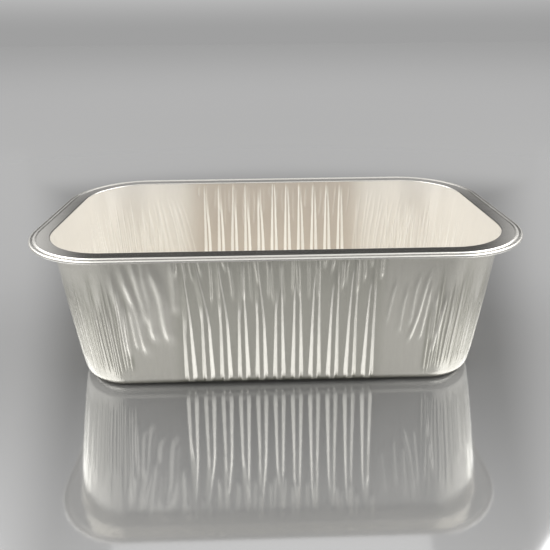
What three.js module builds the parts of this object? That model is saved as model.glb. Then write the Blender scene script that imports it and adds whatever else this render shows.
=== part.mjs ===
// Foil baking tray: a loaf-shaped tray drawn from one sheet of aluminium foil.
// Millimetres, +Z up. The tray stands on the plane z = 0 with its long side along X.
// The sheet is divided at its bends into zones, and each zone is a closed solid of the foil's thickness.
import * as THREE from 'three';

// Driving dimensions of the whole tray
const RIM_LENGTH = 206; // along X, over the rolled edge
const RIM_WIDTH = 114; // along Y, over the rolled edge
const RIM_CORNER_RADIUS = 35; // in plan, to the outside of the rolled edge
const TRAY_HEIGHT = 65; // table to the top of the flange
const FOIL = 0.15; // thickness of the sheet
const WALL_DRAFT = THREE.MathUtils.degToRad(7); // lean of the walls away from upright

// Base
const FOOT_CORNER_RADIUS = 17.5; // in plan, where the base bends up
const HEEL_RADIUS = 5.5; // bend from the base up into the wall
const FOOT_WIDTH = 6; // flat border that stands on the table
const PANEL_RISE = 1.2; // height of the middle panel above the table
const PANEL_STEP_RUN = 1.5; // width of the slope up to the middle panel
const PANEL_BORDER = 3; // flat band at panel height that belongs to the foot ring

// Rim
const RIM_REACH = 8.3; // wall to the outside of the rolled edge, in plan
const LIP_RADIUS = 0.9; // bend from the wall out into the flange
const CURL_RADIUS = 0.9; // middle of the foil in the rolled edge
const CURL_START = THREE.MathUtils.degToRad(150); // seen along the rim, from straight outwards
const CURL_END = THREE.MathUtils.degToRad(-170); // the edge is tucked up under the flange
const BEAD_WIDTH = 1.5; // ridge between the flange and the rolled edge
const BEAD_HEIGHT = 0.45;

// Pressed flutes on the long walls
const FLUTE_PITCH = 7.4;
const FLUTE_CORNER_CLEARANCE = 30; // least distance from a flute's middle to the corner's start
const FLUTE_FOOT_WIDTH = 5.2; // at the bottom of the wall
const FLUTE_CROWN_WIDTH = 1.6; // flat face of the flute at the bottom of the wall
const FLUTE_DEPTH = 1.1; // outwards, at the bottom of the wall
const FLUTE_END_HEIGHT = 5.6; // edge of the foot to the flute's round end, along the foil
const FLUTE_ROUND_END = 2.4; // length of the round end, along the foil
const FLUTE_LEAST_WIDTH_SHARE = 0.25; // width that is left where a flute has faded out

// Draw wrinkles, where the foil gathered as the corners were drawn
const WALL_WRINKLES = 5; // on each side of the flutes
const WALL_WRINKLE_DEPTH = 0.5;
const WALL_WRINKLE_LEAN = 1.35; // above 1 the wrinkles draw together towards the flutes at the bottom
const CORNER_PLEATS = 8; // in each corner
const CORNER_PLEAT_DEPTH = 0.8;
const END_PLEAT_PITCH = 3.6;
const END_PLEAT_DEPTH = 0.5;
const WRINKLE_TOP_FADE = 6; // distance below the flange over which the wrinkles die out
const WRINKLE_MEAN_SHARE = 0.7; // each wrinkle's depth, as a share of the deepest one
const WRINKLE_SPREAD = 0.3;
const WRINKLE_BEAT = 2.4; // how fast the depth changes from one wrinkle to the next, in radians

// Fineness of the rounded forms
const STEPS_PER_PLEAT = 2;
const HEEL_STEPS = 3;
const WALL_STEPS = 4;
const LIP_STEPS = 3;
const BEAD_STEPS = 4;
const CURL_STEPS = 8;
const CORNER_STEPS = CORNER_PLEATS * STEPS_PER_PLEAT;

const QUARTER_TURN = Math.PI / 2;

// Profile of the sheet, as points on the middle of the foil.
// "out" is measured outwards in plan from the line where wall and flange would meet in a sharp corner.
const wallRise = QUARTER_TURN - WALL_DRAFT; // angle that each bend turns through
const flangeLevel = TRAY_HEIGHT - FOIL / 2;
const footLevel = FOIL / 2;
const lipRun = LIP_RADIUS * Math.tan(wallRise / 2);
const lipWallTop = { out: -lipRun * Math.sin(WALL_DRAFT), z: flangeLevel - lipRun * Math.cos(WALL_DRAFT) };
const heelTopLevel = footLevel + HEEL_RADIUS * (1 - Math.cos(wallRise));
const heelTopOut = -(flangeLevel - heelTopLevel) * Math.tan(WALL_DRAFT);
const footEdgeOut = heelTopOut - HEEL_RADIUS * Math.sin(wallRise);
const wallLength = (lipWallTop.z - heelTopLevel) / Math.cos(WALL_DRAFT);
const heelLength = HEEL_RADIUS * wallRise;

function footProfile() {
  const stepFoot = footEdgeOut - FOOT_WIDTH;
  const stepTop = stepFoot - PANEL_STEP_RUN;
  return [
    { out: stepTop - PANEL_BORDER, z: footLevel + PANEL_RISE },
    { out: stepTop, z: footLevel + PANEL_RISE },
    { out: stepFoot, z: footLevel },
    { out: footEdgeOut, z: footLevel, along: 0 },
  ];
}

// Heel and wall; "along" is the length of foil from the foot's edge.
// The rows of the wall lie closer together towards the top, where the flutes taper.
function wallProfile() {
  const rows = [];
  for (let step = 1; step <= HEEL_STEPS; step += 1) {
    const turn = (wallRise * step) / HEEL_STEPS;
    const out = footEdgeOut + HEEL_RADIUS * Math.sin(turn);
    rows.push({ out, z: footLevel + HEEL_RADIUS * (1 - Math.cos(turn)), along: HEEL_RADIUS * turn });
  }
  for (let step = 1; step <= WALL_STEPS; step += 1) {
    const share = Math.sin((QUARTER_TURN * step) / WALL_STEPS);
    const out = THREE.MathUtils.lerp(heelTopOut, lipWallTop.out, share);
    const z = THREE.MathUtils.lerp(heelTopLevel, lipWallTop.z, share);
    rows.push({ out, z, along: heelLength + wallLength * share });
  }
  return rows;
}

const curlMiddle = RIM_REACH - CURL_RADIUS - FOIL / 2;
const grooveOut = curlMiddle - CURL_RADIUS - FOIL / 2;
const flangeEnd = grooveOut - BEAD_WIDTH;

function flangeProfile() {
  const rows = [];
  for (let step = 1; step <= LIP_STEPS; step += 1) {
    const turn = WALL_DRAFT + (wallRise * step) / LIP_STEPS;
    const out = lipRun - LIP_RADIUS * Math.cos(turn);
    rows.push({ out, z: flangeLevel - LIP_RADIUS + LIP_RADIUS * Math.sin(turn) });
  }
  rows.push({ out: flangeEnd, z: flangeLevel });
  return rows;
}

function rolledProfile() {
  const rows = [];
  for (let step = 1; step <= BEAD_STEPS; step += 1) {
    const share = step / BEAD_STEPS;
    rows.push({
      out: flangeEnd + BEAD_WIDTH * share,
      z: flangeLevel + BEAD_HEIGHT * Math.sin(Math.PI * share),
    });
  }
  for (let step = 0; step <= CURL_STEPS; step += 1) {
    const turn = THREE.MathUtils.lerp(CURL_START, CURL_END, step / CURL_STEPS);
    rows.push({
      out: curlMiddle + CURL_RADIUS * Math.cos(turn),
      z: flangeLevel + CURL_RADIUS * Math.sin(turn),
    });
  }
  return rows;
}

// Plan outline of the tray at each row: concentric corners at the rim and at the foot, and a loft between them
const lipHalfLength = RIM_LENGTH / 2 - RIM_REACH;
const lipHalfWidth = RIM_WIDTH / 2 - RIM_REACH;
const lipCornerRadius = RIM_CORNER_RADIUS - RIM_REACH;
const heelTopCornerRadius = FOOT_CORNER_RADIUS + heelTopOut - footEdgeOut;

function cornerRadius(out) {
  if (out >= 0) return lipCornerRadius + out;
  if (out <= heelTopOut) return heelTopCornerRadius + out - heelTopOut;
  return THREE.MathUtils.lerp(lipCornerRadius, heelTopCornerRadius, out / heelTopOut);
}

// Offset direction at a bend of the profile, long enough to keep the foil's thickness on both of its sides
function bendDirection(before, here, after) {
  const square = (from, to) => {
    const run = new THREE.Vector2(to.out - from.out, to.z - from.z).normalize();
    return new THREE.Vector2(run.y, -run.x);
  };
  if (!before) return square(here, after);
  if (!after) return square(before, here);
  const first = square(before, here);
  const middle = first.clone().add(square(here, after)).normalize();
  return middle.divideScalar(middle.dot(first));
}

function finishRows(points) {
  return points.map((point, index) => {
    const facing = bendDirection(points[index - 1], point, points[index + 1]);
    return {
      ...point,
      facing,
      halfLength: lipHalfLength + point.out,
      halfWidth: lipHalfWidth + point.out,
      radius: cornerRadius(point.out),
    };
  });
}

const footPoints = footProfile();
const wallPoints = wallProfile();
const flangePoints = flangeProfile();
const rows = finishRows([...footPoints, ...wallPoints, ...flangePoints, ...rolledProfile()]);
const footEdgeRow = footPoints.length - 1;
const wallTopRow = footEdgeRow + wallPoints.length;
const flangeEndRow = wallTopRow + flangePoints.length;
const footRows = rows.slice(0, footEdgeRow + 1);
const wallRows = rows.slice(footEdgeRow, wallTopRow + 1);
const flangeRows = rows.slice(wallTopRow, flangeEndRow + 1);
const rolledRows = rows.slice(flangeEndRow);

// Fading of the pressed forms up the wall: 0 at the heel, 1 at the flange
function climb(row) {
  return THREE.MathUtils.clamp((row.along - heelLength) / wallLength, 0, 1);
}

function wrinkleFade(row) {
  const belowFlange = wallLength * (1 - climb(row));
  return Math.min(belowFlange / WRINKLE_TOP_FADE, 1) * Math.sqrt(climb(row));
}

function fluteEndShare(row) {
  const reach = THREE.MathUtils.clamp((row.along - FLUTE_END_HEIGHT) / FLUTE_ROUND_END, 0, 1);
  return Math.sqrt(1 - (1 - reach) ** 2);
}

function fluteWidthShare(row) {
  const taper = Math.sqrt(1 - climb(row) ** 2);
  return Math.max(taper * fluteEndShare(row), FLUTE_LEAST_WIDTH_SHARE);
}

function fluteDepth(row) {
  return FLUTE_DEPTH * fluteEndShare(row) * (1 - climb(row) ** 2);
}

// Wrinkles differ a little from each other, as gathered foil does
function unevenness(index) {
  return WRINKLE_MEAN_SHARE + WRINKLE_SPREAD * Math.sin(WRINKLE_BEAT * index);
}

const flat = () => 0;

// Upright columns of a long wall, as the place along it and the press outwards at each row
function longWallColumns() {
  const straight = lipHalfLength - lipCornerRadius;
  const perSide = Math.floor((straight - FLUTE_CORNER_CLEARANCE) / FLUTE_PITCH);
  const flutedHalf = perSide * FLUTE_PITCH + FLUTE_PITCH / 2;
  const run = (row) => row.halfLength - row.radius;
  const columns = [];
  const wrinkleSteps = WALL_WRINKLES * STEPS_PER_PLEAT;
  const wrinkled = (side, step) => {
    const share = step / wrinkleSteps;
    const press = step % STEPS_PER_PLEAT
      ? (row) => WALL_WRINKLE_DEPTH * unevenness(step) * wrinkleFade(row)
      : flat;
    const place = (row) => {
      const drawn = share ** THREE.MathUtils.lerp(WALL_WRINKLE_LEAN, 1, climb(row));
      return side * THREE.MathUtils.lerp(flutedHalf, run(row), drawn);
    };
    columns.push({ place, press });
  };
  for (let step = wrinkleSteps; step >= 0; step -= 1) wrinkled(-1, step);
  for (let flute = -perSide; flute <= perSide; flute += 1) {
    const middle = flute * FLUTE_PITCH;
    for (const [width, depth] of [
      [-FLUTE_FOOT_WIDTH, flat],
      [-FLUTE_CROWN_WIDTH, fluteDepth],
      [FLUTE_CROWN_WIDTH, fluteDepth],
      [FLUTE_FOOT_WIDTH, flat],
    ]) {
      columns.push({ place: (row) => middle + (width / 2) * fluteWidthShare(row), press: depth });
    }
  }
  for (let step = 0; step <= wrinkleSteps; step += 1) wrinkled(1, step);
  return columns;
}

function endWallColumns() {
  const run = (row) => row.halfWidth - row.radius;
  const pleats = Math.max(1, Math.round((2 * (lipHalfWidth - lipCornerRadius)) / END_PLEAT_PITCH));
  const steps = pleats * STEPS_PER_PLEAT;
  return Array.from({ length: steps + 1 }, (_, step) => ({
    place: (row) => run(row) * ((2 * step) / steps - 1),
    press: step % STEPS_PER_PLEAT ? (row) => END_PLEAT_DEPTH * unevenness(step) * wrinkleFade(row) : flat,
  }));
}

// A point of the sheet and its outward direction, from its plan place and the plan direction it faces
function sheetPoint(x, y, faceX, faceY, row, press) {
  const outward = new THREE.Vector3(faceX * row.facing.x, faceY * row.facing.x, row.facing.y);
  const point = new THREE.Vector3(x, y, row.z).addScaledVector(outward, press);
  return { point, outward };
}

// Straight panel that faces the plan direction "turn" and lies at "reach" from the middle
function straightPanel(turn, reach, columns, panelRows) {
  const faceX = Math.round(Math.cos(turn));
  const faceY = Math.round(Math.sin(turn));
  return columns.map(({ place, press }) => panelRows.map((row) => {
    const x = faceX * reach(row) - faceY * place(row);
    const y = faceY * reach(row) + faceX * place(row);
    return sheetPoint(x, y, faceX, faceY, row, press(row));
  }));
}

// Quarter-round panel that starts at the plan direction "turn"
function cornerPanel(turn, panelRows, pressAt) {
  const sideX = Math.sign(Math.cos(turn + QUARTER_TURN / 2));
  const sideY = Math.sign(Math.sin(turn + QUARTER_TURN / 2));
  return Array.from({ length: CORNER_STEPS + 1 }, (_, step) => {
    const direction = turn + (QUARTER_TURN * step) / CORNER_STEPS;
    const faceX = Math.cos(direction);
    const faceY = Math.sin(direction);
    return panelRows.map((row) => {
      const x = sideX * (row.halfLength - row.radius) + row.radius * faceX;
      const y = sideY * (row.halfWidth - row.radius) + row.radius * faceY;
      return sheetPoint(x, y, faceX, faceY, row, pressAt(step, row));
    });
  });
}

function pleatPress(step, row) {
  return step % STEPS_PER_PLEAT ? CORNER_PLEAT_DEPTH * unevenness(step) * wrinkleFade(row) : 0;
}

// A whole turn of the tray's outline: the four plain corners, with straight runs between them
function ringPanel(ringRows) {
  const turns = [-1, 0, 1, 2].map((quarter) => quarter * QUARTER_TURN);
  return turns.flatMap((turn) => cornerPanel(turn, ringRows, () => 0));
}

// Closed solid of the foil: the two skins of a grid of sheet points, and the cut edges round it
function sheetSolid(grid, goesRound) {
  const rowCount = grid[0].length;
  const positions = [];
  for (const { point, outward } of grid.flat()) {
    positions.push(...point.clone().addScaledVector(outward, FOIL / 2).toArray());
    positions.push(...point.clone().addScaledVector(outward, -FOIL / 2).toArray());
  }
  const outer = (column, row) => 2 * ((column % grid.length) * rowCount + row);
  const inner = (column, row) => outer(column, row) + 1;
  const triangles = [];
  const quad = (a, b, c, d) => triangles.push(a, b, c, a, c, d);
  const spans = goesRound ? grid.length : grid.length - 1;
  const last = rowCount - 1;
  for (let i = 0; i < spans; i += 1) {
    for (let j = 0; j < last; j += 1) {
      quad(outer(i, j), outer(i + 1, j), outer(i + 1, j + 1), outer(i, j + 1));
      quad(inner(i, j), inner(i, j + 1), inner(i + 1, j + 1), inner(i + 1, j));
    }
    quad(inner(i, 0), inner(i + 1, 0), outer(i + 1, 0), outer(i, 0));
    quad(outer(i, last), outer(i + 1, last), inner(i + 1, last), inner(i, last));
  }
  if (!goesRound) {
    for (let j = 0; j < last; j += 1) {
      quad(outer(0, j), outer(0, j + 1), inner(0, j + 1), inner(0, j));
      quad(inner(spans, j), inner(spans, j + 1), outer(spans, j + 1), outer(spans, j));
    }
  }
  const geometry = new THREE.BufferGeometry();
  geometry.setAttribute('position', new THREE.Float32BufferAttribute(positions, 3));
  geometry.setIndex(triangles);
  geometry.computeVertexNormals();
  return geometry;
}

// Flat middle of the base, cut to the inner edge of the foot ring
function floorSolid() {
  const edge = ringPanel(footRows.slice(0, 1)).map(([{ point }]) => new THREE.Vector2(point.x, point.y));
  const geometry = new THREE.ExtrudeGeometry(new THREE.Shape(edge), { depth: FOIL, bevelEnabled: false });
  return geometry.translate(0, 0, PANEL_RISE);
}

function foilPiece(name, geometry, color, roughness) {
  const material = new THREE.MeshStandardMaterial({ color, roughness, metalness: 1 });
  const mesh = new THREE.Mesh(geometry, material);
  mesh.name = name;
  return mesh;
}

const WALL_GREY = 0xb4b2aa;
const FLOOR_GREY = 0xc8c2b6;
const RIM_BRIGHT = 0xd6d5d0;
const DRAWN_ROUGHNESS = 0.34;
const ROLLED_ROUGHNESS = 0.24;

function buildBase() {
  const base = new THREE.Group();
  base.add(foilPiece('floor_panel', floorSolid(), FLOOR_GREY, DRAWN_ROUGHNESS));
  base.add(foilPiece('foot_ring', sheetSolid(ringPanel(footRows), true), FLOOR_GREY, DRAWN_ROUGHNESS));
  return base;
}

function buildWalls() {
  const walls = new THREE.Group();
  const longColumns = longWallColumns();
  const endColumns = endWallColumns();
  const toLongWall = (row) => row.halfWidth;
  const toEndWall = (row) => row.halfLength;
  for (const [name, turn, reach, columns] of [
    ['front_wall', -QUARTER_TURN, toLongWall, longColumns],
    ['right_end_wall', 0, toEndWall, endColumns],
    ['back_wall', QUARTER_TURN, toLongWall, longColumns],
    ['left_end_wall', 2 * QUARTER_TURN, toEndWall, endColumns],
  ]) {
    const panel = straightPanel(turn, reach, columns, wallRows);
    walls.add(foilPiece(name, sheetSolid(panel, false), WALL_GREY, DRAWN_ROUGHNESS));
  }
  for (const [name, turn] of [
    ['corner_front_right', -QUARTER_TURN],
    ['corner_back_right', 0],
    ['corner_back_left', QUARTER_TURN],
    ['corner_front_left', 2 * QUARTER_TURN],
  ]) {
    const panel = cornerPanel(turn, wallRows, pleatPress);
    walls.add(foilPiece(name, sheetSolid(panel, false), WALL_GREY, DRAWN_ROUGHNESS));
  }
  return walls;
}

function buildRim() {
  const rim = new THREE.Group();
  rim.add(foilPiece('rim_flange', sheetSolid(ringPanel(flangeRows), true), RIM_BRIGHT, ROLLED_ROUGHNESS));
  rim.add(foilPiece('rolled_rim', sheetSolid(ringPanel(rolledRows), true), RIM_BRIGHT, ROLLED_ROUGHNESS));
  return rim;
}

const tray = new THREE.Group();
tray.name = 'foil_baking_tray';
tray.add(buildBase(), buildWalls(), buildRim());

export default tray;
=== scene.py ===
"""Foil baking tray: the drawn foil with its flutes and wrinkles, its finish, and a plain studio."""
import math
import random
from types import SimpleNamespace

import bpy
import numpy as np
from mathutils import Matrix, Vector


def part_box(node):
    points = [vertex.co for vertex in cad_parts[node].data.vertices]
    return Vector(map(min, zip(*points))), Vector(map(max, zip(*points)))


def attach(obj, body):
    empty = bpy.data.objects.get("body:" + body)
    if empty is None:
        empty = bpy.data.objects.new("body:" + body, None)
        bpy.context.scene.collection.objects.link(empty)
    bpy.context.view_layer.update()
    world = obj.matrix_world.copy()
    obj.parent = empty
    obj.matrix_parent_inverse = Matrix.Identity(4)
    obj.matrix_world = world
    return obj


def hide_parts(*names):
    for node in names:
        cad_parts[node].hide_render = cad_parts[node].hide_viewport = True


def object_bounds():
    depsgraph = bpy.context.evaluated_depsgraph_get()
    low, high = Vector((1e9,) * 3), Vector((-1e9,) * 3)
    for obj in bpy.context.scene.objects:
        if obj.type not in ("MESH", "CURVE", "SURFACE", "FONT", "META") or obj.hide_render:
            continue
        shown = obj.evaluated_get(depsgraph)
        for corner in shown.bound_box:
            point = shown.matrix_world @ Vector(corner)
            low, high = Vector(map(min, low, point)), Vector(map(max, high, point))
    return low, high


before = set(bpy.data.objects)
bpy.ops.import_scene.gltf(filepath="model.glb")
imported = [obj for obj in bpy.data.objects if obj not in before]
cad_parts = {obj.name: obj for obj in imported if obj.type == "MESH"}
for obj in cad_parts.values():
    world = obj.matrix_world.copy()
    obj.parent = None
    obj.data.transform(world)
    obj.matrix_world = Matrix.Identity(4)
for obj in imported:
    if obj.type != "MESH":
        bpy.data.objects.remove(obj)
cad_low, cad_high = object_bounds()

MM = 0.001
QUARTER_TURN = math.pi / 2
TINY = 1e-7

# Sizes of the sheet: those of the CAD part, but with a finer lip, bead and roll
FOIL = 0.15 * MM
WALL_DRAFT = math.radians(7)
RIM_REACH = 8.3 * MM
RIM_CORNER_RADIUS = 35 * MM
LIP_RADIUS = 0.35 * MM
CURL_RADIUS = 0.62 * MM
CURL_DROP = 0.6 * MM
CURL_START = math.radians(133.5)
CURL_END = math.radians(-170)
FLANGE_END = 5.3 * MM
FLANGE_EASE = 0.12 * MM
BEAD_WIDTH = 0.75 * MM
BEAD_HEIGHT = 0.26 * MM
BEAD_FULLNESS = 1.2
HEEL_RADIUS = 5.5 * MM
FOOT_CORNER_RADIUS = 17.5 * MM
FOOT_WIDTH = 6 * MM
PANEL_RISE = 1.2 * MM
PANEL_STEP_RUN = 1.5 * MM

# Sizes that the frame gives
RIM_HALF_LENGTH = cad_high.x
RIM_HALF_WIDTH = cad_high.y
FLANGE_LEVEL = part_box("rim_flange")[1].z - FOIL / 2
FOOT_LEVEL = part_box("foot_ring")[0].z + FOIL / 2

# Profile of the sheet, measured outwards from the line where wall and flange would meet sharply
WALL_TURN = QUARTER_TURN - WALL_DRAFT
LIP_RUN = LIP_RADIUS * math.tan(WALL_TURN / 2)
LIP_TOP_LEVEL = FLANGE_LEVEL - LIP_RUN * math.cos(WALL_DRAFT)
HEEL_TOP_LEVEL = FOOT_LEVEL + HEEL_RADIUS * (1 - math.cos(WALL_TURN))
HEEL_TOP_OUT = -(FLANGE_LEVEL - HEEL_TOP_LEVEL) * math.tan(WALL_DRAFT)
FOOT_EDGE_OUT = HEEL_TOP_OUT - HEEL_RADIUS * math.sin(WALL_TURN)
HEEL_LENGTH = HEEL_RADIUS * WALL_TURN
WALL_LENGTH = (LIP_TOP_LEVEL - HEEL_TOP_LEVEL) / math.cos(WALL_DRAFT)
FOIL_LENGTH = HEEL_LENGTH + WALL_LENGTH
LIP_HALF_LENGTH = RIM_HALF_LENGTH - RIM_REACH
LIP_HALF_WIDTH = RIM_HALF_WIDTH - RIM_REACH
LIP_CORNER_RADIUS = RIM_CORNER_RADIUS - RIM_REACH
HEEL_TOP_CORNER_RADIUS = FOOT_CORNER_RADIUS + HEEL_TOP_OUT - FOOT_EDGE_OUT
LONG_RUN = LIP_HALF_LENGTH - LIP_CORNER_RADIUS
END_RUN = LIP_HALF_WIDTH - LIP_CORNER_RADIUS
CORNER_ARC = LIP_CORNER_RADIUS * QUARTER_TURN

# Places round the lip, from the middle of the front wall towards the right end
FRONT_MIDDLE = 0.0
CORNER_FRONT_RIGHT = LONG_RUN
RIGHT_MIDDLE = CORNER_FRONT_RIGHT + CORNER_ARC + END_RUN
CORNER_BACK_RIGHT = RIGHT_MIDDLE + END_RUN
BACK_MIDDLE = CORNER_BACK_RIGHT + CORNER_ARC + LONG_RUN
CORNER_BACK_LEFT = BACK_MIDDLE + LONG_RUN
LEFT_MIDDLE = CORNER_BACK_LEFT + CORNER_ARC + END_RUN
CORNER_FRONT_LEFT = LEFT_MIDDLE + END_RUN
LIP_ROUND = CORNER_FRONT_LEFT + CORNER_ARC + LONG_RUN

# Fineness of the meshes
LONG_COLUMNS = 640
END_COLUMNS = 220
CORNER_COLUMNS = 280
WALL_ROWS = 74
ROW_GRADING = 0.38
LIP_STEPS = 8
BEAD_STEPS = 12
CURL_STEPS = 36
RIM_CORNER_STEPS = 132
FOOT_CORNER_STEPS = 32
SMOOTH_ANGLE = math.radians(50)

# Pressed flutes of the long walls
FLUTE_PITCH = 7.4 * MM
FLUTE_COUNT = 11
FLUTE_DEPTH = 1.25 * MM
FLUTE_END = 5.4 * MM
FLUTE_RUN_OUT = 5.0 * MM
FLUTE_TAPER = 1.15
FLUTE_LIP_FADE = 0.04
FLUTE_LEAN_FROM = 0.4
FLANK_FADE_BLEND = 0.15

# Front and back flutes: the shares of their depth that taper and that stay up to the lip, the slope of their
# flanks, and half the width of their crowns; the back flanks get flatter between two shares of the height
FRONT_TAPERED = 0.92
FRONT_STEADY = 0.08
FRONT_FLANK_SLOPE = 0.68
FRONT_HALF_CROWN = 0.83 * MM
BACK_TAPERED = 0.75
BACK_STEADY = 0.17
BACK_FLANK_SLOPE = 0.56
BACK_FLANK_EASE = 0.12
BACK_EASE_FROM = 0.1
BACK_EASE_TO = 0.45
BACK_HALF_CROWN = 0.4 * MM

# Flutes in order along their wall: lean of the top in millimetres, and the shares of the height where the
# left and right flanks fade
FRONT_FLUTES = (
    (-1.3, 0.45, 1.0), (-3.6, 0.56, 1.0), (-2.4, 0.6, 1.0), (-0.4, 0.58, 1.0),
    (-1.8, 0.64, 1.05), (0.0, 0.65, 1.0), (-0.3, 0.76, 0.95), (0.3, 0.85, 1.0),
    (0.4, 0.76, 0.86), (0.6, 0.9, 1.0), (0.5, 0.78, 0.74),
)
BACK_FLUTES = (
    (0.0, 0.9, 0.92), (0.0, 0.87, 0.95), (-0.2, 0.88, 1.0), (0.2, 0.84, 1.0),
    (0.0, 0.92, 1.0), (0.0, 1.0, 1.05), (0.6, 0.76, 0.85), (0.3, 0.73, 1.05),
    (-0.4, 0.74, 1.05), (0.2, 0.75, 1.0), (0.6, 0.72, 1.0),
)

# Form of a wrinkle: how far and how fast it wanders, the shares of its length over which its foot and head
# fade, the spread of the painted shade round it as in a fold, its reach in widths, and where all wrinkles
# fade below the lip
WANDER_SIZE = 0.2
WANDER_RATE = 0.22
WANDER_SHIFT = 9
WRINKLE_FOOT_FADE = 0.16
WRINKLE_HEAD_FADE = 0.3
FOLD_SHADE_SPREAD = 8
WRINKLE_REACH = 4
WRINKLE_LIP_FADE = 1.2 * MM

# Draw wrinkles at the left and right of the front wall, in millimetres: place of the foot from the middle
# of the wall, length up the foil to it, the same for the head, and then width, depth and bow
FRONT_WRINKLES = (
    (-55.2, 35.0, -57.9, 67.5, 1.5, 0.44, 1.3),
    (-51.2, 24.5, -52.3, 68.0, 1.8, 0.54, -0.8),
    (-45.7, 23.9, -50.8, 68.0, 2.0, 0.6, 0.8),
    (-41.6, 39.0, -40.5, 68.0, 1.6, 0.44, -0.5),
    (-63.6, 18.0, -65.9, 63.0, 1.4, 0.4, 0.3),
    (-56.0, 18.2, -61.5, 65.0, 1.6, 0.5, 0.4),
    (-59.5, 22.0, -60.9, 47.0, 1.2, 0.3, 0.0),
    (44.9, 33.0, 46.8, 56.0, 0.8, 0.15, 0.0),
    (50.5, 28.0, 51.6, 53.0, 0.8, 0.17, 0.0),
    (54.5, 31.0, 56.2, 59.0, 0.85, 0.18, -0.2),
    (55.1, 22.4, 60.3, 60.5, 0.85, 0.24, 0.4),
    (60.0, 23.5, 61.8, 55.0, 0.8, 0.2, -0.4),
    (64.5, 24.0, 64.4, 52.0, 0.7, 0.18, 0.0),
    (66.4, 18.0, 69.1, 48.0, 0.65, 0.27, -0.3),
)
# Share of painted shade round the front wall's draw wrinkles, as in a fold
FRONT_FOLD_SHADE = 0.1

# Families of fine wrinkles: how many there are, how unevenly they stand, the limits of their sizes in
# millimetres, with feet and heads as lengths up the foil, and the share of painted shade round them as in a
# fold
WRINKLE_SEED = 7
PLEAT_OVERLAP = 8 * MM
CORNER_PLEATS = SimpleNamespace(
    count=42, jitter=0.25, foot_up=(6.5, 11), lean=(1, 4), head_up=(44, 64),
    width=(0.32, 0.46), depth=(0.13, 0.26), bow=(-0.4, 0.4), fold_shade_share=1.0)
END_WRINKLES = SimpleNamespace(
    count=17, jitter=0.35, foot_up=(12, 24), lean=(0, 3), head_up=(46, 64),
    width=(0.45, 0.8), depth=(0.06, 0.18), bow=(-0.6, 0.6), fold_shade_share=0.4)
TOP_WRINKLES = SimpleNamespace(
    count=26, jitter=1, below_lip=(0.6, 2), length=(5, 24), lean=(-1.6, 0.8),
    width=(0.4, 0.6), depth=(0.18, 0.36), bow=(-0.5, 0.5), fold_shade_share=0.0)
FRONT_TOP_STRENGTH = 1.0
BACK_TOP_STRENGTH = 0.7
BACK_DRAW_WRINKLES = SimpleNamespace(
    count=14, jitter=0.5, pitch=2.1, overlap=5, lean_jitter=1,
    foot_up=(12, 18), foot_climb=0.8, head_up=(56, 62), head_climb=0.4,
    width=(0.45, 0.65), depth=(0.12, 0.24), bow=(0, 1.2), fold_shade_share=0.3)

# Painted light and shade on the sheet, on a scale whose top is the painted highlight of the flutes' flanks:
# the attributes that carry it, the unpainted sheet and the painted shade between the flutes, outside and
# inside, the painted highlight on the crests of wrinkles, the painted shade in the folds, and the height of
# a full crest
OUTER_PAINTED_LIGHT = "outer_painted_light"
INNER_PAINTED_LIGHT = "inner_painted_light"
OUTER_UNPAINTED_LEVEL = 0.757
OUTER_LAND_SHADE_LEVEL = 0.45
INNER_UNPAINTED_LEVEL = 0.56
INNER_LAND_SHADE_LEVEL = 0.0
OUTER_CREST_HIGHLIGHT = 0.2
INNER_CREST_HIGHLIGHT = 0.32
FOLD_PAINTED_SHADE = 0.8
WRINKLE_CREST = 0.28 * MM

# Shares of the flanks' slope at which a flute's painted highlight begins and is full, and the step that
# measures it
FLANK_HIGHLIGHT_FROM = 0.3
FLANK_HIGHLIGHT_FULL = 0.95
FLANK_SLOPE_STEP = 0.12 * MM

# Painted shade that dims the heel's highlight on the long walls: its strength, where it ends up the foil,
# and how far from the corners it starts to fade
HEEL_SHADE = 0.5
HEEL_SHADE_FROM = 4 * MM
HEEL_SHADE_TO = 8 * MM
HEEL_BRIGHT_RUN = 22 * MM

# Where the painted shade on the sheet between the flutes ends, outside and inside
LAND_SHADE_FROM = 39 * MM
OUTER_LAND_SHADE_TO = 45 * MM
INNER_LAND_SHADE_TO = 54 * MM

# Ripples of the flange's corners: their limits on the land, the share of the corner over which they fade,
# and their waves as (size, rate, shift from corner to corner)
RIPPLE_HEIGHT = 0.009 * MM
RIPPLE_FROM = 0.4 * MM
RIPPLE_FULL = 1.4 * MM
RIPPLE_MARGIN = 0.2 * MM
RIPPLE_FADE = 0.8 * MM
RIPPLE_TURN_FADE = 0.12
RIPPLE_WAVES = ((1.0, 133, 5), (0.7, 97, 2), (0.5, 61, 1))

# Streaks of the foil: their fineness along each axis, their strength in tone and gloss, the noise and the
# tone that they swing about, and their depth
DRAWN_STREAKS = (900, 900, 45)
ROLLED_STREAKS = (45, 900, 900)
STREAK_TONE = 0.16
STREAK_GLOSS = 0.03
NOISE_MIDDLE = 0.5
PLAIN_TONE = 1.0
DRAWN_GRAIN = 0.006 * MM
FLANGE_GRAIN = 0.003 * MM
ROLL_GRAIN = 0.0004 * MM

# Colours of the flange and of the roll, each the same all round
FLANGE_COLOUR = (0.85, 0.825, 0.775)
ROLL_COLOUR = (0.75, 0.73, 0.685)

# Floor, and softboxes all aimed at the tray: name, place, width, height and radiance
FLOOR_SIZE = 12
LAMP_AIM = (0, 0, 0.03)
SOFTBOXES = (
    ("left_softbox", (-0.5, -0.21, 0.585), 0.5, 0.34, 2.9),
    ("right_softbox", (0.5, -0.21, 0.585), 0.5, 0.34, 3.3),
    ("left_rear_softbox", (-0.62, 0.27, 0.6), 0.5, 0.34, 3.9),
    ("right_rear_softbox", (0.62, 0.27, 0.6), 0.5, 0.34, 3.9),
    ("top_softbox", (0, -0.6, 0.62), 0.9, 0.34, 0.75),
    ("back_softbox", (0, 0.6, 0.64), 0.56, 0.32, 0.45),
)

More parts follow.
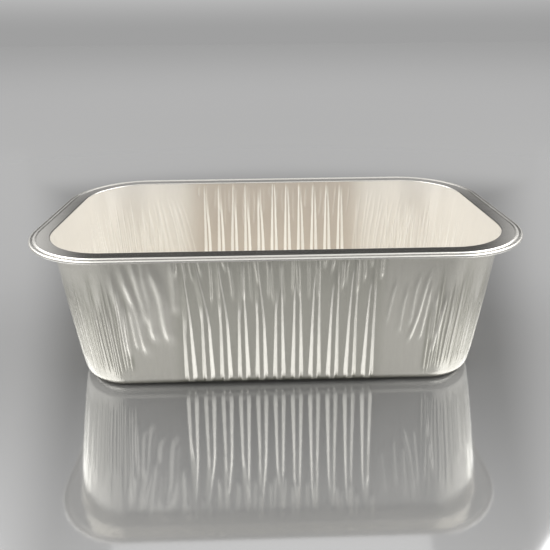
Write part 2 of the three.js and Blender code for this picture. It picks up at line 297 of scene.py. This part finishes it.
# Light of the studio by direction, as (where it begins, where it is full, strength): by height above the
# horizon, or by distance from the middle for the sides; the end of the low sky is taken off again
HORIZON_LIGHT = 0.35
LOW_SKY = (0.0, 0.12, 0.3)
LOW_SKY_END = (0.235, 0.285, 0.59)
SIDES_MIDDLE = 0.03
NEAR_SIDES = (0.32, 0.43, 0.68)
FAR_SIDES = (0.6, 0.85, 0.4)
SIDES_RISE = (0.06, 0.2, 1.0)
OVERHEAD = (0.5, 0.9, 0.87)


def smooth_step(low, high, value):
    """Share that eases from 0 to 1 while a value rises from low to high."""
    share = np.clip((value - low) / (high - low), 0, 1)
    return share * share * (3 - 2 * share)


def wall_share(along):
    """Share of the wall's height at a length up the foil."""
    return np.clip((along - HEEL_LENGTH) / WALL_LENGTH, 0, 1)


# Pressed forms, as heights outwards from the plain wall

def flute_depth(rise, tapered, steady):
    """Depth of a flute, by the share of the height."""
    taper = tapered * (1 - rise) ** FLUTE_TAPER
    return FLUTE_DEPTH * (taper + steady * smooth_step(0, FLUTE_LIP_FADE, 1 - rise))


def front_form(rise):
    """Depth, width of a flank and half width of the crown of a front flute, by the share of the height."""
    depth = flute_depth(rise, FRONT_TAPERED, FRONT_STEADY)
    return depth, depth / FRONT_FLANK_SLOPE, FRONT_HALF_CROWN


def back_form(rise):
    """The same for a back flute."""
    depth = flute_depth(rise, BACK_TAPERED, BACK_STEADY)
    slope = BACK_FLANK_SLOPE - BACK_FLANK_EASE * smooth_step(BACK_EASE_FROM, BACK_EASE_TO, rise)
    return depth, depth / slope, BACK_HALF_CROWN


def placed_flutes(flutes):
    """Flutes with their middles along the wall, in metres."""
    first = -(FLUTE_COUNT - 1) / 2 * FLUTE_PITCH
    return [
        (first + index * FLUTE_PITCH, lean * MM, left_fade, right_fade)
        for index, (lean, left_fade, right_fade) in enumerate(flutes)
    ]


def flute_press(place, along, flutes, form):
    """Flutes as (middle, lean of the top, shares of the height where the left and right flanks fade)."""
    rise = wall_share(along)
    depth, flank, crown = form(rise)
    short = 1 - np.clip((along - FLUTE_END) / FLUTE_RUN_OUT, 0, 1)
    run_out = np.sqrt(1 - short * short)
    depth = depth * run_out
    flank = flank * run_out
    press = np.zeros_like(place)
    for middle, lean, left_fade, right_fade in flutes:
        beside = place - middle - lean * smooth_step(FLUTE_LEAN_FROM, 1, rise)
        flute = depth
        for side, fade in ((-1, left_fade), (1, right_fade)):
            soft = smooth_step(fade - FLANK_FADE_BLEND, fade + FLANK_FADE_BLEND, rise)
            inside = crown + flank - side * beside
            flute = np.minimum(flute, inside * depth / (flank + soft * 2 * crown + TINY))
        press = np.maximum(press, flute)
    return press


def ridge_press(place, along, foot, foot_up, head, head_up, width, depth, bow):
    """One wrinkle from its foot to its head, each a place round the tray and a length up the foil.

    Gives its height, and the share of painted shade on the sheet round it, as in a fold.
    """
    share = np.clip((along - foot_up) / (head_up - foot_up), 0, 1)
    middle = foot + (head - foot) * share + bow * 4 * share * (1 - share)
    middle = middle + WANDER_SIZE * width * np.sin((along * WANDER_RATE + foot * WANDER_SHIFT) / MM)
    fade = smooth_step(0, WRINKLE_FOOT_FADE, share) * smooth_step(0, WRINKLE_HEAD_FADE, 1 - share)
    beside = (place - middle) / width
    return depth * fade * np.exp(-beside * beside), fade * np.exp(-beside * beside / FOLD_SHADE_SPREAD)


# Lists of wrinkles: foot, length up to it, head, length up to it, width, depth, bow and share of painted
# fold shade

def upright_wrinkles(chance, family, middle, spread):
    """Fine wrinkles side by side about a middle, with heads that lean away from it."""
    for index in range(family.count):
        share = (index + 0.5 + chance.uniform(-family.jitter, family.jitter)) / family.count - 0.5
        foot = middle + share * spread
        yield (
            foot,
            chance.uniform(*family.foot_up) * MM,
            foot + share * chance.uniform(*family.lean) * MM,
            chance.uniform(*family.head_up) * MM,
            chance.uniform(*family.width) * MM,
            chance.uniform(*family.depth) * MM,
            chance.uniform(*family.bow) * MM,
            family.fold_shade_share,
        )


def top_wrinkles(chance, middle, strength):
    """Short narrow wrinkles under the lip, between and over the flutes."""
    family = TOP_WRINKLES
    spread = FLUTE_COUNT * FLUTE_PITCH
    for index in range(family.count):
        share = index / (family.count - 1) - 0.5
        foot = middle + share * spread + chance.uniform(-family.jitter, family.jitter) * MM
        head_up = FOIL_LENGTH - chance.uniform(*family.below_lip) * MM
        yield (
            foot,
            head_up - chance.uniform(*family.length) * MM,
            foot + chance.uniform(*family.lean) * MM,
            head_up,
            chance.uniform(*family.width) * MM,
            strength * chance.uniform(*family.depth) * MM,
            chance.uniform(*family.bow) * MM,
            family.fold_shade_share,
        )


def draw_wrinkles(chance, side, corner_lean, flute_lean):
    """Fine wrinkles of the back wall from a corner to its flutes, their heads leaning to the corner."""
    family = BACK_DRAW_WRINKLES
    for index in range(family.count):
        from_corner = family.pitch * index - family.overlap + chance.uniform(-family.jitter, family.jitter)
        foot = LONG_RUN - from_corner * MM
        lean = corner_lean + (flute_lean - corner_lean) * index / family.count
        head = foot + (lean + chance.uniform(-family.lean_jitter, family.lean_jitter)) * MM
        yield (
            BACK_MIDDLE + side * foot,
            (chance.uniform(*family.foot_up) + family.foot_climb * index) * MM,
            BACK_MIDDLE + side * head,
            (chance.uniform(*family.head_up) + family.head_climb * index) * MM,
            chance.uniform(*family.width) * MM,
            chance.uniform(*family.depth) * MM,
            -side * chance.uniform(*family.bow) * MM,
            family.fold_shade_share,
        )


def wrinkle_list(chance):
    """All the wrinkles of the tray."""
    found = [(*(value * MM for value in wrinkle), FRONT_FOLD_SHADE) for wrinkle in FRONT_WRINKLES]
    for corner in (CORNER_FRONT_RIGHT, CORNER_BACK_RIGHT, CORNER_BACK_LEFT, CORNER_FRONT_LEFT):
        middle = corner + CORNER_ARC / 2
        found.extend(upright_wrinkles(chance, CORNER_PLEATS, middle, CORNER_ARC + PLEAT_OVERLAP))
    for middle in (RIGHT_MIDDLE, LEFT_MIDDLE):
        found.extend(upright_wrinkles(chance, END_WRINKLES, middle, 2 * END_RUN))
    for middle, strength in ((FRONT_MIDDLE, FRONT_TOP_STRENGTH), (BACK_MIDDLE, BACK_TOP_STRENGTH)):
        found.extend(top_wrinkles(chance, middle, strength))
    found.extend(draw_wrinkles(chance, side=-1, corner_lean=8, flute_lean=1))
    found.extend(draw_wrinkles(chance, side=1, corner_lean=2, flute_lean=8))
    return found


def all_wrinkles(wrinkles, lip_place, along):
    """Height of all the wrinkles together, and the share of painted shade round them, as in folds."""
    raised = np.zeros_like(lip_place)
    fold_shading = np.zeros_like(lip_place)
    low = lip_place.min()
    high = lip_place.max()
    for foot, foot_up, head, head_up, width, depth, bow, fold_shade_share in wrinkles:
        lap = LIP_ROUND * round(((low + high) / 2 - foot) / LIP_ROUND)
        reach = WRINKLE_REACH * width + abs(head - foot) + abs(bow)
        if foot + lap < low - reach or foot + lap > high + reach:
            continue
        ridge, round_ridge = ridge_press(
            lip_place, along, foot + lap, foot_up, head + lap, head_up, width, depth, bow)
        raised += ridge
        # Painted shade round each wrinkle, as in a fold
        fold_shading = np.maximum(fold_shading, fold_shade_share * round_ridge)
    return raised * smooth_step(0, WRINKLE_LIP_FADE, FOIL_LENGTH - along), fold_shading


# Plan outline and profile of the wall

def corner_radius(out):
    """Plan radius of a corner at an offset from the lip line."""
    share = np.clip(out / HEEL_TOP_OUT, 0, 1)
    lofted = LIP_CORNER_RADIUS + (HEEL_TOP_CORNER_RADIUS - LIP_CORNER_RADIUS) * share
    return np.where(out < HEEL_TOP_OUT, HEEL_TOP_CORNER_RADIUS + out - HEEL_TOP_OUT, lofted)


def wall_profile(along):
    """Offset, height and facing of the plain wall at a length up the foil from the foot's edge."""
    turn = np.clip(along / HEEL_RADIUS, 0, WALL_TURN)
    climb = np.clip(along - HEEL_LENGTH, 0, None)
    out = FOOT_EDGE_OUT + HEEL_RADIUS * np.sin(turn) + climb * math.sin(WALL_DRAFT)
    level = FOOT_LEVEL + HEEL_RADIUS * (1 - np.cos(turn)) + climb * math.cos(WALL_DRAFT)
    return out, level, np.sin(turn), -np.cos(turn)


# Work on a piece

def clear_selection():
    if bpy.context.object and bpy.context.object.mode != "OBJECT":
        bpy.ops.object.mode_set(mode="OBJECT")
    bpy.ops.object.select_all(action="DESELECT")


def apply_modifier(piece, kind, **settings):
    modifier = piece.modifiers.new(kind.title(), kind)
    for name, value in settings.items():
        setattr(modifier, name, value)
    bpy.context.view_layer.objects.active = piece
    bpy.ops.object.modifier_apply(modifier=modifier.name)


def vertex_places(piece):
    points = np.zeros(len(piece.data.vertices) * 3)
    piece.data.vertices.foreach_get("co", points)
    return points.reshape(-1, 3)


def place_vertices(piece, points):
    piece.data.vertices.foreach_set("co", points.astype(np.float32).ravel())
    piece.data.update()


def finish_piece(piece, name, slot, *nodes):
    """Name and smooth a piece, and put it in the place of its CAD nodes."""
    piece.name = name
    piece.data.name = name
    clear_selection()
    piece.select_set(True)
    bpy.context.view_layer.objects.active = piece
    bpy.ops.object.transform_apply(location=True, rotation=True, scale=True)
    bpy.ops.object.shade_smooth_by_angle(angle=SMOOTH_ANGLE)
    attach(piece, "root")
    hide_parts(*nodes)


# Walls

def foil_blank(columns):
    """A flat grid of foil with finer rows below, and each vertex's share across and length up the foil."""
    clear_selection()
    bpy.ops.mesh.primitive_grid_add(x_subdivisions=columns, y_subdivisions=WALL_ROWS, size=1)
    blank = bpy.context.object
    points = vertex_places(blank) + 0.5
    up = points[:, 1]
    return blank, points[:, 0], FOIL_LENGTH * up * (ROW_GRADING + (1 - ROW_GRADING) * up)


def press_blank(blank, points, light_and_shade):
    """Shape a blank, note the painted light and shade of its outside and inside, and give it the thickness
    of the foil.
    """
    place_vertices(blank, points)
    for name, values in zip((OUTER_PAINTED_LIGHT, INNER_PAINTED_LIGHT), light_and_shade):
        painted_light = blank.data.attributes.new(name, "FLOAT", "POINT")
        painted_light.data.foreach_set("value", np.clip(values, 0, 1).astype(np.float32))
    blank.data.materials.append(outer_foil)
    blank.data.materials.append(inner_foil)
    apply_modifier(blank, "SOLIDIFY", thickness=FOIL, offset=0.0, material_offset=1)


def straight_wall(name, turn, reach_half, run_half, round_middle, columns, press):
    """A straight wall that faces the plan direction turn, with its middle at a place round the lip."""
    blank, across, along = foil_blank(columns)
    out, level, face_out, face_up = wall_profile(along)
    from_middle = across * 2 - 1
    place = from_middle * (run_half + out - corner_radius(out))
    lip_place = round_middle + from_middle * (run_half - LIP_CORNER_RADIUS)
    raised, light_and_shade = press(place, lip_place, along)
    reach = reach_half + out + raised * face_out
    face_x = math.cos(turn)
    face_y = math.sin(turn)
    points = np.stack([
        face_x * reach - face_y * place,
        face_y * reach + face_x * place,
        level + raised * face_up,
    ], axis=1)
    press_blank(blank, points, light_and_shade)
    finish_piece(blank, name + "_foil", "drawn_foil", name)


def corner_wall(name, turn, round_start, press):
    """A round corner that starts at the plan direction turn and at a place round the lip."""
    blank, across, along = foil_blank(CORNER_COLUMNS)
    out, level, face_out, face_up = wall_profile(along)
    radius = corner_radius(out)
    direction = turn + across * QUARTER_TURN
    side_x = math.copysign(1, math.cos(turn + QUARTER_TURN / 2))
    side_y = math.copysign(1, math.sin(turn + QUARTER_TURN / 2))
    raised, light_and_shade = press(None, round_start + across * CORNER_ARC, along)
    spread = radius + raised * face_out
    points = np.stack([
        side_x * (LIP_HALF_LENGTH + out - radius) + spread * np.cos(direction),
        side_y * (LIP_HALF_WIDTH + out - radius) + spread * np.sin(direction),
        level + raised * face_up,
    ], axis=1)
    press_blank(blank, points, light_and_shade)
    finish_piece(blank, name + "_foil", "drawn_foil", name)


def make_walls():
    """The long walls, the end walls and the corners, each pressed from its own blank.

    A press takes places along the wall and round the lip, and gives heights and both sides' painted light
    and shade.
    """
    wrinkles = wrinkle_list(random.Random(WRINKLE_SEED))

    def plain(place, lip_place, along):
        """Press of a wall that has wrinkles alone."""
        raised, fold_shading = all_wrinkles(wrinkles, lip_place, along)
        # Painted highlight on the crests of the wrinkles, and painted shade in the folds round them
        crest = np.clip(raised / WRINKLE_CREST, 0, 1)
        outer = OUTER_UNPAINTED_LEVEL + OUTER_CREST_HIGHLIGHT * crest - FOLD_PAINTED_SHADE * fold_shading * (1 - crest)
        return raised, (outer, INNER_UNPAINTED_LEVEL + INNER_CREST_HIGHLIGHT * crest)

    def fluted(flutes, form):
        """Press of a long wall, with its flutes and its wrinkles."""
        flutes = placed_flutes(flutes)

        def press(place, lip_place, along):
            wrinkled, (outer, inner) = plain(place, lip_place, along)
            flute = flute_press(place, along, flutes, form)
            # Painted highlight on the flutes' steep flanks, growing with their slope
            after = flute_press(place + FLANK_SLOPE_STEP, along, flutes, form)
            before = flute_press(place - FLANK_SLOPE_STEP, along, flutes, form)
            slope = np.abs(after - before) / (2 * FLANK_SLOPE_STEP)
            depth, flank, _ = form(wall_share(along))
            painted_light = smooth_step(FLANK_HIGHLIGHT_FROM, FLANK_HIGHLIGHT_FULL, slope * flank / (depth + TINY))
            # Painted shade on the sheet between the flutes, and on the heel away from the corners
            outer_land_shade = 1 - smooth_step(LAND_SHADE_FROM, OUTER_LAND_SHADE_TO, np.abs(place))
            inner_land_shade = 1 - smooth_step(LAND_SHADE_FROM, INNER_LAND_SHADE_TO, np.abs(place))
            on_heel = 1 - smooth_step(HEEL_SHADE_FROM, HEEL_SHADE_TO, along)
            off_corner = 1 - smooth_step(LONG_RUN - HEEL_BRIGHT_RUN, LONG_RUN, np.abs(place))
            outer = outer - (OUTER_UNPAINTED_LEVEL - OUTER_LAND_SHADE_LEVEL) * outer_land_shade
            outer = outer - HEEL_SHADE * on_heel * off_corner
            inner = inner - (INNER_UNPAINTED_LEVEL - INNER_LAND_SHADE_LEVEL) * inner_land_shade
            return flute + wrinkled, (outer + painted_light, inner + painted_light)
        return press

    for name, turn, middle, press in (
        ("front_wall", -QUARTER_TURN, FRONT_MIDDLE, fluted(FRONT_FLUTES, front_form)),
        ("back_wall", QUARTER_TURN, BACK_MIDDLE, fluted(BACK_FLUTES, back_form)),
    ):
        straight_wall(name, turn, LIP_HALF_WIDTH, LIP_HALF_LENGTH, middle, LONG_COLUMNS, press)
    for name, turn, middle in (
        ("right_end_wall", 0, RIGHT_MIDDLE),
        ("left_end_wall", 2 * QUARTER_TURN, LEFT_MIDDLE),
    ):
        straight_wall(name, turn, LIP_HALF_LENGTH, LIP_HALF_WIDTH, middle, END_COLUMNS, plain)
    for name, turn, start in (
        ("corner_front_right", -QUARTER_TURN, CORNER_FRONT_RIGHT),
        ("corner_back_right", 0, CORNER_BACK_RIGHT),
        ("corner_back_left", QUARTER_TURN, CORNER_BACK_LEFT),
        ("corner_front_left", 2 * QUARTER_TURN, CORNER_FRONT_LEFT),
    ):
        corner_wall(name, turn, start, plain)


# Rim

def rim_profile():
    """Points of the rim's section as (out, height), from the top of the wall to the end of the roll."""
    points = []
    for step in range(LIP_STEPS + 1):
        turn = WALL_DRAFT + WALL_TURN * step / LIP_STEPS
        out = LIP_RUN - LIP_RADIUS * math.cos(turn)
        points.append((out, FLANGE_LEVEL + LIP_RADIUS * (math.sin(turn) - 1)))
    points.append((LIP_RUN + FLANGE_EASE, FLANGE_LEVEL))
    points.append((FLANGE_END - FLANGE_EASE, FLANGE_LEVEL))
    for step in range(BEAD_STEPS + 1):
        share = step / BEAD_STEPS
        height = BEAD_HEIGHT * math.sin(math.pi * share) ** BEAD_FULLNESS
        points.append((FLANGE_END + BEAD_WIDTH * share, FLANGE_LEVEL + height))
    curl_middle = RIM_REACH - CURL_RADIUS - FOIL / 2
    for step in range(CURL_STEPS + 1):
        turn = CURL_START + (CURL_END - CURL_START) * step / CURL_STEPS
        out = curl_middle + CURL_RADIUS * math.cos(turn)
        points.append((out, FLANGE_LEVEL - CURL_DROP + CURL_RADIUS * math.sin(turn)))
    return points


def ripple_flange(rim):
    """Faint ripples that fan over the flange where its corners were drawn in."""
    points = vertex_places(rim)
    aside = np.abs(points[:, 0]) - LONG_RUN
    behind = np.abs(points[:, 1]) - END_RUN
    out = np.hypot(aside, behind) - LIP_CORNER_RADIUS
    turn = np.arctan2(behind, aside) / QUARTER_TURN
    past_lip = smooth_step(RIPPLE_FROM, RIPPLE_FULL, out)
    before_bead = smooth_step(0, RIPPLE_FADE, FLANGE_END - RIPPLE_MARGIN - out)
    in_corner = smooth_step(0, RIPPLE_TURN_FADE, turn) * smooth_step(0, RIPPLE_TURN_FADE, 1 - turn)
    corner = np.sign(points[:, 0]) + 2 * np.sign(points[:, 1])
    waves = sum(size * np.sin(rate * turn + shift * corner) for size, rate, shift in RIPPLE_WAVES)
    points[:, 2] += RIPPLE_HEIGHT * (past_lip * before_bead) * in_corner * waves
    place_vertices(rim, points)


def mark_roll(rim):
    """Give the bead and the roll their own finish, by their distance out from the lip."""
    middles = np.zeros(len(rim.data.polygons) * 3)
    rim.data.polygons.foreach_get("center", middles)
    middles = np.abs(middles.reshape(-1, 3))
    aside = np.clip(middles[:, 0] - LONG_RUN, 0, None)
    behind = np.clip(middles[:, 1] - END_RUN, 0, None)
    rolled = np.hypot(aside, behind) - LIP_CORNER_RADIUS > FLANGE_END
    rim.data.polygons.foreach_set("material_index", rolled.astype(np.int32))


def make_rim():
    """The flange, bead and roll: one section, drawn along the straight sides and spun round the corners."""
    clear_selection()
    bpy.ops.mesh.primitive_plane_add(size=FOIL)
    rim = bpy.context.object
    bpy.ops.object.mode_set(mode="EDIT")
    bpy.ops.mesh.select_all(action="SELECT")
    bpy.ops.mesh.merge(type="CENTER")
    section = rim_profile()
    start = Vector((-LONG_RUN, -LIP_HALF_WIDTH - section[0][0], section[0][1]))
    bpy.ops.transform.translate(value=start)
    for before, after in zip(section, section[1:]):
        move = (0, before[0] - after[0], after[1] - before[1])
        bpy.ops.mesh.extrude_region_move(TRANSFORM_OT_translate={"value": move})
    bpy.ops.mesh.select_all(action="SELECT")
    for side, centre in (
        ((2 * LONG_RUN, 0, 0), (LONG_RUN, -END_RUN, 0)),
        ((0, 2 * END_RUN, 0), (LONG_RUN, END_RUN, 0)),
        ((-2 * LONG_RUN, 0, 0), (-LONG_RUN, END_RUN, 0)),
        ((0, -2 * END_RUN, 0), (-LONG_RUN, -END_RUN, 0)),
    ):
        bpy.ops.mesh.extrude_region_move(TRANSFORM_OT_translate={"value": side})
        bpy.ops.mesh.spin(steps=RIM_CORNER_STEPS, angle=-QUARTER_TURN, center=centre, axis=(0, 0, 1))
    bpy.ops.mesh.select_all(action="SELECT")
    bpy.ops.mesh.remove_doubles(threshold=FOIL / 10)
    bpy.ops.mesh.normals_make_consistent(inside=False)
    bpy.ops.object.mode_set(mode="OBJECT")
    ripple_flange(rim)
    rim.data.materials.append(burnished_foil)
    rim.data.materials.append(rolled_foil)
    apply_modifier(rim, "SOLIDIFY", thickness=FOIL, offset=0.0, use_even_offset=True)
    mark_roll(rim)
    finish_piece(rim, "rim_foil", "rim_foil", "rim_flange", "rolled_rim")


# Base

def make_base():
    """Floor of the tray: a round-cornered sheet with its middle panel raised."""
    clear_selection()
    bpy.ops.mesh.primitive_plane_add(size=2, location=(0, 0, FOOT_LEVEL))
    base = bpy.context.object
    base.scale = (LIP_HALF_LENGTH + FOOT_EDGE_OUT, LIP_HALF_WIDTH + FOOT_EDGE_OUT, 1)
    bpy.ops.object.transform_apply(location=True, rotation=False, scale=True)
    bpy.ops.object.mode_set(mode="EDIT")
    bpy.ops.mesh.select_all(action="SELECT")
    bpy.ops.mesh.bevel(affect="VERTICES", offset=FOOT_CORNER_RADIUS, segments=FOOT_CORNER_STEPS)
    bpy.ops.mesh.select_all(action="SELECT")
    bpy.ops.mesh.inset(thickness=FOOT_WIDTH)
    bpy.ops.mesh.inset(thickness=PANEL_STEP_RUN)
    bpy.ops.transform.translate(value=(0, 0, PANEL_RISE))
    bpy.ops.object.mode_set(mode="OBJECT")
    base.data.materials.append(inner_foil)
    base.data.materials.append(outer_foil)
    apply_modifier(base, "SOLIDIFY", thickness=FOIL, offset=0.0, use_even_offset=True, material_offset=1)
    finish_piece(base, "base_foil", "drawn_foil", "floor_panel", "foot_ring")


# Finish of the foil

def node(tree, kind, **values):
    """A new shader node, with its sockets or settings set by name."""
    made = tree.nodes.new(kind)
    for name, value in values.items():
        if name in made.inputs:
            made.inputs[name].default_value = value
        else:
            setattr(made, name, value)
    return made


def foil_grain_and_light_group():
    """Rolled foil: fine streaks in tone and gloss, and painted light and shade mixed from a shaded to a lit
    colour.
    """
    tree = bpy.data.node_groups.new("foil_grain_and_light", "ShaderNodeTree")
    for name, kind in (
        ("Place", "NodeSocketVector"), ("Shaded colour", "NodeSocketColor"), ("Lit colour", "NodeSocketColor"),
        ("Painted light", "NodeSocketFloat"), ("Streak", "NodeSocketFloat"),
        ("Gloss low", "NodeSocketFloat"), ("Gloss high", "NodeSocketFloat"),
    ):
        tree.interface.new_socket(name, in_out="INPUT", socket_type=kind)
    for name, kind in (
        ("Colour", "NodeSocketColor"), ("Roughness", "NodeSocketFloat"), ("Height", "NodeSocketFloat"),
    ):
        tree.interface.new_socket(name, in_out="OUTPUT", socket_type=kind)
    given = node(tree, "NodeGroupInput")
    made = node(tree, "NodeGroupOutput")
    fine = node(tree, "ShaderNodeTexNoise", Scale=1.0, Detail=3.0, Roughness=0.6)
    cloud = node(tree, "ShaderNodeTexNoise", Scale=0.035, Detail=2.0, Roughness=0.5)
    both = node(tree, "ShaderNodeMath", operation="ADD")
    mean = node(tree, "ShaderNodeMath", operation="MULTIPLY")
    mean.inputs[1].default_value = 1 / 2
    tone = node(tree, "ShaderNodeMath", operation="SUBTRACT")
    tone.inputs[1].default_value = NOISE_MIDDLE
    shade = node(tree, "ShaderNodeMath", operation="MULTIPLY_ADD")
    shade.inputs[2].default_value = PLAIN_TONE
    sheet = node(tree, "ShaderNodeMix", data_type="RGBA")
    streaked = node(tree, "ShaderNodeVectorMath", operation="SCALE")
    gloss = node(tree, "ShaderNodeMapRange", **{"From Min": 0.3, "From Max": 0.7})
    links = tree.links
    links.new(given.outputs["Place"], fine.inputs["Vector"])
    links.new(given.outputs["Place"], cloud.inputs["Vector"])
    links.new(fine.outputs["Fac"], both.inputs[0])
    links.new(cloud.outputs["Fac"], both.inputs[1])
    links.new(both.outputs[0], mean.inputs[0])
    links.new(mean.outputs[0], tone.inputs[0])
    links.new(tone.outputs[0], shade.inputs[0])
    links.new(given.outputs["Streak"], shade.inputs[1])
    links.new(given.outputs["Painted light"], sheet.inputs["Factor"])
    links.new(given.outputs["Shaded colour"], sheet.inputs["A"])
    links.new(given.outputs["Lit colour"], sheet.inputs["B"])
    links.new(sheet.outputs["Result"], streaked.inputs[0])
    links.new(shade.outputs[0], streaked.inputs["Scale"])
    links.new(mean.outputs[0], gloss.inputs["Value"])
    links.new(given.outputs["Gloss low"], gloss.inputs["To Min"])
    links.new(given.outputs["Gloss high"], gloss.inputs["To Max"])
    links.new(streaked.outputs[0], made.inputs["Colour"])
    links.new(gloss.outputs["Result"], made.inputs["Roughness"])
    links.new(fine.outputs["Fac"], made.inputs["Height"])
    return tree


def foil_material(name, light_and_shade, shaded_colour, lit_colour, metallic, roughness, streaks, grain):
    """A foil finish, its painted light and shade mixed from a shaded to a lit colour by the named attribute;
    streaks gives the fineness of the streaks and grain their depth.
    """
    material = bpy.data.materials.new(name)
    material.use_nodes = True
    tree = material.node_tree
    shader = tree.nodes["Principled BSDF"]
    shader.inputs["Metallic"].default_value = metallic
    coordinate = node(tree, "ShaderNodeTexCoord")
    mapping = node(tree, "ShaderNodeMapping", Scale=streaks)
    painted_light = node(tree, "ShaderNodeAttribute", attribute_name=light_and_shade)
    sheet = node(tree, "ShaderNodeGroup", node_tree=foil_grain_and_light)
    sheet.inputs["Shaded colour"].default_value = (*shaded_colour, 1)
    sheet.inputs["Lit colour"].default_value = (*lit_colour, 1)
    sheet.inputs["Streak"].default_value = STREAK_TONE
    sheet.inputs["Gloss low"].default_value = roughness - STREAK_GLOSS
    sheet.inputs["Gloss high"].default_value = roughness + STREAK_GLOSS
    bump = node(tree, "ShaderNodeBump", Distance=grain, Strength=1.0)
    links = tree.links
    links.new(coordinate.outputs["Object"], mapping.inputs["Vector"])
    links.new(mapping.outputs["Vector"], sheet.inputs["Place"])
    links.new(painted_light.outputs["Fac"], sheet.inputs["Painted light"])
    links.new(sheet.outputs["Colour"], shader.inputs["Base Color"])
    links.new(sheet.outputs["Roughness"], shader.inputs["Roughness"])
    links.new(sheet.outputs["Height"], bump.inputs["Height"])
    links.new(bump.outputs["Normal"], shader.inputs["Normal"])
    return material


# Studio

def make_camera():
    """The photograph's camera, as fitted to the lines of the tray."""
    focal_pixels = 549.6
    image_pixels = 550
    axis_row = 179.3
    tilt = 0.2644
    turn = 0.0216
    roll = -0.0097
    distance = 273.65 * MM
    side = 0.15 * MM
    rise = -76.94 * MM
    data = bpy.data.cameras.new("camera")
    camera = bpy.data.objects.new("camera", data)
    bpy.context.collection.objects.link(camera)
    data.sensor_width = 36
    data.lens = data.sensor_width * focal_pixels / image_pixels
    data.shift_y = -(image_pixels / 2 - axis_row) / image_pixels
    data.clip_start = 0.01
    right = Vector((1, 0, 0))
    up = Vector((0, math.sin(tilt), math.cos(tilt)))
    forward = Vector((0, math.cos(tilt), -math.sin(tilt)))
    place = -(right * side + up * rise + forward * distance)
    rolled_right = right * math.cos(roll) + up * math.sin(roll)
    rolled_up = up * math.cos(roll) - right * math.sin(roll)
    axes = Matrix((rolled_right, rolled_up, -forward)).transposed().to_4x4()
    camera.matrix_world = Matrix.Rotation(-turn, 4, "Z") @ Matrix.Translation(place) @ axes
    bpy.context.scene.camera = camera


def make_floor():
    """A plain glossy floor."""
    clear_selection()
    bpy.ops.mesh.primitive_plane_add(size=FLOOR_SIZE, location=(0, 0, 0))
    floor = bpy.context.object
    floor.name = "floor"
    material = bpy.data.materials.new("floor")
    material.use_nodes = True
    shader = material.node_tree.nodes["Principled BSDF"]
    shader.inputs["Base Color"].default_value = (0.22, 0.22, 0.218, 1)
    shader.inputs["Roughness"].default_value = 0.06
    shader.inputs["IOR"].default_value = 3.2
    floor.data.materials.append(material)


def make_lamp(name, place, width, height, radiance):
    """A softbox that lights the tray and stays out of the picture."""
    data = bpy.data.lights.new(name, "AREA")
    data.shape = "RECTANGLE"
    data.size = width
    data.size_y = height
    data.energy = radiance * math.pi * width * height
    lamp = bpy.data.objects.new(name, data)
    bpy.context.collection.objects.link(lamp)
    lamp.location = place
    lamp.visible_camera = False
    lamp.rotation_euler = (Vector(LAMP_AIM) - Vector(place)).to_track_quat("-Z", "Y").to_euler()


def make_surroundings():
    """Soft light from low down, the sides and overhead, with a darker band above the low light."""
    world = bpy.data.worlds.new("studio")
    bpy.context.scene.world = world
    world.use_nodes = True
    tree = world.node_tree
    coordinate = node(tree, "ShaderNodeTexCoord")
    split = node(tree, "ShaderNodeSeparateXYZ")
    links = tree.links
    links.new(coordinate.outputs["Generated"], split.inputs[0])

    def glow(value, low, high, strength):
        """Light that grows from none to its strength while a value rises from low to high."""
        made = node(tree, "ShaderNodeMapRange", interpolation_type="SMOOTHSTEP")
        made.inputs["From Min"].default_value = low
        made.inputs["From Max"].default_value = high
        made.inputs["To Max"].default_value = strength
        links.new(value, made.inputs["Value"])
        return made.outputs["Result"]

    def joined(operation, *values):
        """What a math node makes of numbers and of other nodes' results."""
        made = node(tree, "ShaderNodeMath", operation=operation)
        for socket, value in zip(made.inputs, values):
            if isinstance(value, float):
                socket.default_value = value
            else:
                links.new(value, socket)
        return made.outputs[0]

    level = split.outputs["Z"]
    aside = joined("ABSOLUTE", joined("SUBTRACT", split.outputs["X"], SIDES_MIDDLE))
    low_sky = joined("ADD", HORIZON_LIGHT, glow(level, *LOW_SKY))
    horizon = joined("SUBTRACT", low_sky, glow(level, *LOW_SKY_END))
    sides = joined("ADD", glow(aside, *NEAR_SIDES), glow(aside, *FAR_SIDES))
    sides = joined("MULTIPLY", sides, glow(level, *SIDES_RISE))
    light = joined("ADD", joined("MAXIMUM", horizon, sides), glow(level, *OVERHEAD))
    links.new(light, tree.nodes["Background"].inputs["Color"])


bpy.context.scene.view_settings.view_transform = "Standard"
make_camera()
make_floor()
for softbox in SOFTBOXES:
    make_lamp(*softbox)
make_surroundings()

foil_grain_and_light = foil_grain_and_light_group()
# Outside and inside, painted light and shade mix a shaded and a lit colour; the flange and the roll keep one
# colour
outer_foil = foil_material(
    "outer_foil", OUTER_PAINTED_LIGHT, shaded_colour=(0.45, 0.442, 0.382), lit_colour=(0.835, 0.815, 0.75),
    metallic=1.0, roughness=0.25, streaks=DRAWN_STREAKS, grain=DRAWN_GRAIN)
inner_foil = foil_material(
    "inner_foil", INNER_PAINTED_LIGHT, shaded_colour=(0.635, 0.585, 0.52), lit_colour=(0.995, 0.985, 0.94),
    metallic=0.44, roughness=0.2, streaks=DRAWN_STREAKS, grain=DRAWN_GRAIN)
burnished_foil = foil_material(
    "burnished_foil", OUTER_PAINTED_LIGHT, shaded_colour=FLANGE_COLOUR, lit_colour=FLANGE_COLOUR,
    metallic=1.0, roughness=0.15, streaks=ROLLED_STREAKS, grain=FLANGE_GRAIN)
rolled_foil = foil_material(
    "rolled_foil", OUTER_PAINTED_LIGHT, shaded_colour=ROLL_COLOUR, lit_colour=ROLL_COLOUR,
    metallic=1.0, roughness=0.26, streaks=ROLLED_STREAKS, grain=ROLL_GRAIN)
make_walls()
make_rim()
make_base()
